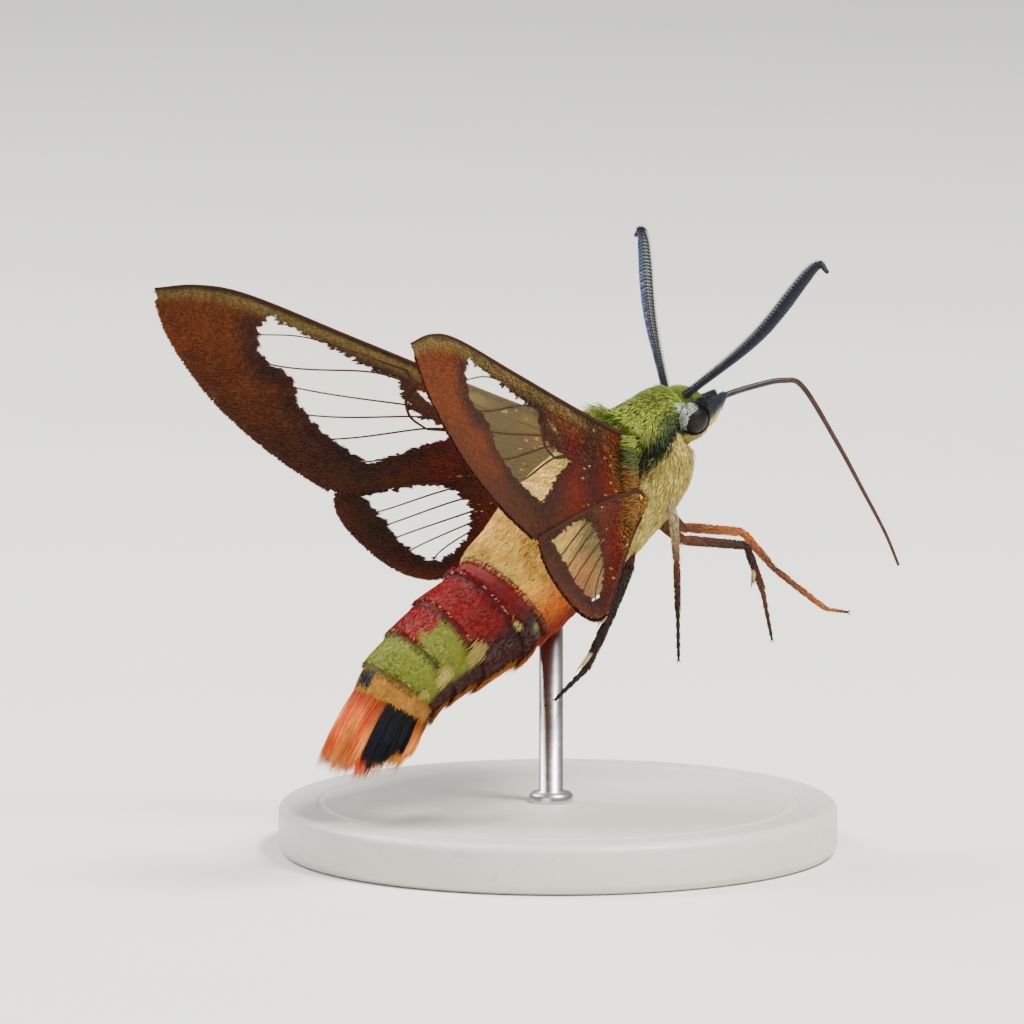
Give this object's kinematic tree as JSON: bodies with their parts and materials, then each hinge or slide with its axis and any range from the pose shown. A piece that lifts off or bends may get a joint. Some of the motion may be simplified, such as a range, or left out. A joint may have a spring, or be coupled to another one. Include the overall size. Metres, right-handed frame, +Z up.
{
  "type": "hummingbird clearwing moth",
  "caption": "Still life-size hovering moth with furred body, tail fan, clear wings, club feelers and a long tongue, held by a rod over a round base.",
  "frame": {"origin": "middle of the underside of the stand's base", "axes": "+Z up, the head towards -Y, the moth's left side towards +X"},
  "size_m": [0.028, 0.0361, 0.0299],
  "materials": {
    "stand_base": "matt pale grey, round, bevelled",
    "stand_rod": "satin steel",
    "coat_olive": "dense hair, olive green with gold tips",
    "coat_gold": "long golden hair",
    "coat_maroon": "short flat maroon scales",
    "coat_rear": "flat scales, olive and ochre",
    "tail_orange": "long rust orange hair-scales",
    "tail_black": "long blue-black hair-scales",
    "wing": "clear window, dark veins, rust borders, crimson base",
    "eye": "glossy dark brown facets",
    "antenna": "black with blue-grey scales",
    "palp": "blue-grey scales",
    "proboscis": "horny, blue-black to red-brown",
    "leg": "dark brown scales"
  },
  "bodies": {
    "root": {"abdomen_1": "coat_gold", "abdomen_2": "coat_maroon", "abdomen_3": "coat_maroon", "abdomen_4": "coat_rear", "abdomen_5": "coat_rear", "abdomen_6": "coat_rear", "antenna_left": "antenna", "antenna_right": "antenna", "eye_left": "eye", "eye_right": "eye", "foreleg_left": "leg", "foreleg_right": "leg", "forewing_left": "wing", "forewing_right": "wing", "head": "coat_olive", "hindleg_left": "leg", "hindleg_right": "leg", "hindwing_left": "wing", "hindwing_right": "wing", "midleg_left": "leg", "midleg_right": "leg", "palp_left": "palp", "palp_right": "palp", "proboscis_base": "proboscis", "proboscis_middle": "proboscis", "proboscis_tip": "proboscis", "stand_base": "stand_base", "stand_rod": "stand_rod", "tail_centre": "tail_orange", "tail_left": "tail_black", "tail_right": "tail_black", "tail_under": "tail_orange", "thorax": "coat_olive"}
  },
  "joints": []
}
